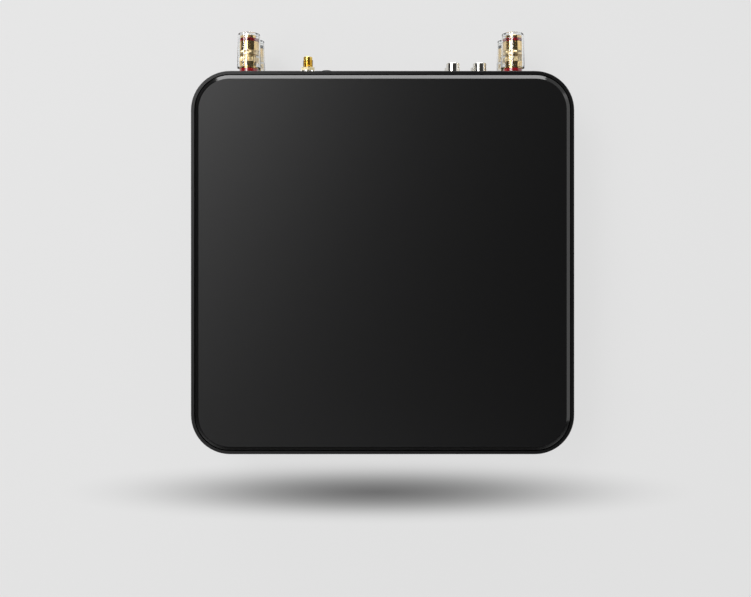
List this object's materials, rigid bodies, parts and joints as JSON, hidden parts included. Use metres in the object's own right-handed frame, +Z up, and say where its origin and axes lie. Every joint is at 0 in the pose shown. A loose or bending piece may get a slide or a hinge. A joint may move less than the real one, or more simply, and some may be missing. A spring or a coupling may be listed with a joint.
{
  "type": "bluetooth amplifier",
  "caption": "Low square black aluminium amplifier with clear gold binding posts, phono jacks and an antenna jack along its rear wall.",
  "frame": {"origin": "under the middle of the whole outline, on the surface that the feet stand on", "axes": "+X right seen from the front, +Y towards the rear wall and its connectors, +Z up"},
  "size_m": [0.235, 0.2608, 0.054],
  "materials": {
    "anodised_aluminium": "black anodised over fine bead blasting",
    "bare_aluminium": "extruded",
    "black_gloss": "glossy moulded black",
    "black_plastic": "fine moulded black",
    "black_steel": "black zinc plated",
    "capacitor_sleeve": "shrink sleeve",
    "chip_plastic": "moulded epoxy",
    "circuit_board": "green solder mask",
    "clear_plastic": "clear polished polycarbonate",
    "ferrite": "pressed ferrite",
    "gold_plate": "polished gold plating on brass",
    "nickel_plate": "bright nickel plating",
    "red_plastic": "glossy moulded red",
    "rubber": "matt moulded rubber",
    "satin_aluminium": "black anodised, turned",
    "smoked_plastic": "smoked polished acrylic",
    "standoff_brass": "turned brass",
    "white_plastic": "white insulator",
    "wire_insulation": "wire insulation"
  },
  "bodies": {
    "root": {"top_cover": "anodised_aluminium", "side_frame": "anodised_aluminium", "bottom_cover": "anodised_aluminium", "case_screws": "black_steel", "rubber_feet": "rubber", "foot_screws": "black_steel", "post_studs": "gold_plate", "post_flanges": "clear_plastic", "positive_base_washers": "red_plastic", "negative_base_washers": "black_gloss", "post_inner_insulators": "black_plastic", "post_lock_nuts": "gold_plate", "antenna_jack": "gold_plate", "antenna_insulator": "white_plastic", "antenna_washers": "nickel_plate", "antenna_nut": "nickel_plate", "aux_jack": "black_plastic", "phono_housing": "black_plastic", "phono_shells": "nickel_plate", "phono_contacts": "gold_plate", "phono_screw": "black_steel", "mains_inlet": "black_plastic", "mains_inlet_pins": "nickel_plate", "rocker_frame": "black_plastic", "status_window": "smoked_plastic", "front_switches": "black_plastic", "front_board": "circuit_board", "infrared_receiver": "chip_plastic", "main_board": "circuit_board", "power_board": "circuit_board", "board_standoffs": "standoff_brass", "board_screws": "black_steel", "amplifier_chips": "chip_plastic", "heatsink": "bare_aluminium", "output_inductors": "ferrite", "electrolytic_capacitors": "capacitor_sleeve", "power_transformer": "ferrite", "radio_board": "circuit_board", "radio_module": "nickel_plate", "internal_wires": "wire_insulation"},
    "left_positive_washer": {"left_positive_clamp_washer": "gold_plate"},
    "left_positive_cap": {"left_positive_clamp_nut": "gold_plate", "left_positive_colour_ring": "red_plastic", "left_positive_clear_shell": "clear_plastic"},
    "left_negative_washer": {"left_negative_clamp_washer": "gold_plate"},
    "left_negative_cap": {"left_negative_clamp_nut": "gold_plate", "left_negative_colour_ring": "black_gloss", "left_negative_clear_shell": "clear_plastic"},
    "right_positive_washer": {"right_positive_clamp_washer": "gold_plate"},
    "right_positive_cap": {"right_positive_clamp_nut": "gold_plate", "right_positive_colour_ring": "red_plastic", "right_positive_clear_shell": "clear_plastic"},
    "right_negative_washer": {"right_negative_clamp_washer": "gold_plate"},
    "right_negative_cap": {"right_negative_clamp_nut": "gold_plate", "right_negative_colour_ring": "black_gloss", "right_negative_clear_shell": "clear_plastic"},
    "rocker": {"power_rocker": "black_gloss"},
    "power_key": {"power_button": "satin_aluminium"},
    "volume_down_key": {"volume_down_button": "satin_aluminium"},
    "volume_up_key": {"volume_up_button": "satin_aluminium"}
  },
  "joints": [
    {"name": "left_positive_washer_slide", "type": "slide", "parent": "root", "child": "left_positive_washer", "axis": [0, 1, 0], "range_m": [0, 0.0045]},
    {"name": "left_positive_cap_turn", "type": "hinge", "parent": "left_positive_washer", "child": "left_positive_cap", "pos_m": [-0.0836, 0.109, 0.0415], "axis": [0, 1, 0], "range_deg": [0, 1620]},
    {"name": "left_negative_washer_slide", "type": "slide", "parent": "root", "child": "left_negative_washer", "axis": [0, 1, 0], "range_m": [0, 0.0045]},
    {"name": "left_negative_cap_turn", "type": "hinge", "parent": "left_negative_washer", "child": "left_negative_cap", "pos_m": [-0.0836, 0.109, 0.0225], "axis": [0, 1, 0], "range_deg": [0, 1620]},
    {"name": "right_positive_washer_slide", "type": "slide", "parent": "root", "child": "right_positive_washer", "axis": [0, 1, 0], "range_m": [0, 0.0045]},
    {"name": "right_positive_cap_turn", "type": "hinge", "parent": "right_positive_washer", "child": "right_positive_cap", "pos_m": [0.0814, 0.109, 0.0415], "axis": [0, 1, 0], "range_deg": [0, 1620]},
    {"name": "right_negative_washer_slide", "type": "slide", "parent": "root", "child": "right_negative_washer", "axis": [0, 1, 0], "range_m": [0, 0.0045]},
    {"name": "right_negative_cap_turn", "type": "hinge", "parent": "right_negative_washer", "child": "right_negative_cap", "pos_m": [0.0814, 0.109, 0.0225], "axis": [0, 1, 0], "range_deg": [0, 1620]},
    {"name": "rocker_tilt", "type": "hinge", "parent": "root", "child": "rocker", "pos_m": [0.022, 0.1044, 0.029], "axis": [-1, 0, 0], "range_deg": [0, 20]},
    {"name": "power_key_press", "type": "slide", "parent": "root", "child": "power_key", "axis": [0, 1, 0], "range_m": [0, 0.0006], "stiffness_N_per_m": 300, "springref_m": -0.002},
    {"name": "volume_down_key_press", "type": "slide", "parent": "root", "child": "volume_down_key", "axis": [0, 1, 0], "range_m": [0, 0.0006], "stiffness_N_per_m": 300, "springref_m": -0.002},
    {"name": "volume_up_key_press", "type": "slide", "parent": "root", "child": "volume_up_key", "axis": [0, 1, 0], "range_m": [0, 0.0006], "stiffness_N_per_m": 300, "springref_m": -0.002}
  ],
  "couplings": [
    {"joint": "left_positive_cap_turn", "follows": "left_positive_washer_slide", "rad_per_m": 6283.2},
    {"joint": "left_negative_cap_turn", "follows": "left_negative_washer_slide", "rad_per_m": 6283.2},
    {"joint": "right_positive_cap_turn", "follows": "right_positive_washer_slide", "rad_per_m": 6283.2},
    {"joint": "right_negative_cap_turn", "follows": "right_negative_washer_slide", "rad_per_m": 6283.2}
  ]
}
